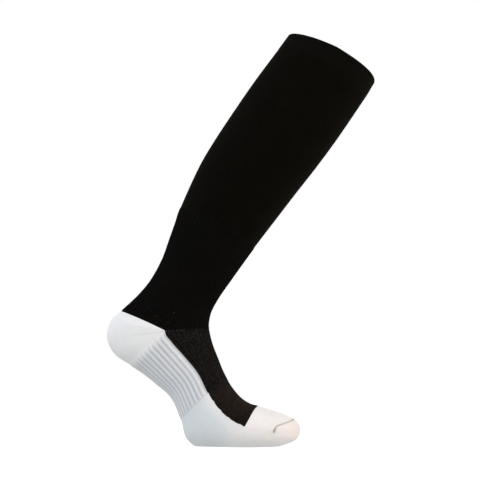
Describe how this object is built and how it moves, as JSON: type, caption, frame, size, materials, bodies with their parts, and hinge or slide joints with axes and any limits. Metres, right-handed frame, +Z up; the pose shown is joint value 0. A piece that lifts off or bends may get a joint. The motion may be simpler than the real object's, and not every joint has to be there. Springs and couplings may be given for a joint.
{
  "type": "compression stocking",
  "caption": "Knee-high compression stocking, filled out as worn on tiptoe: black leg with a ribbed ankle and instep, white heel pocket, ribbed arch, sole and toe.",
  "frame": {"origin": "centre of the cuff's mouth, where the leg goes in", "axes": "+Z up, with the ball of the foot level below; +X towards the toes; the stocking is alike on both sides of Y = 0"},
  "size_m": [0.284, 0.1054, 0.4382],
  "materials": {
    "black_knit": "fine matt knit",
    "white_knit": "fine matt knit"
  },
  "bodies": {
    "root": {"top_band": "black_knit", "calf_tube": "black_knit", "ankle_tube": "black_knit", "heel_pocket": "white_knit", "instep_panel": "black_knit", "arch_band": "white_knit", "forefoot_panel": "black_knit", "ball_sole": "white_knit", "toe_cap": "white_knit"}
  },
  "joints": []
}
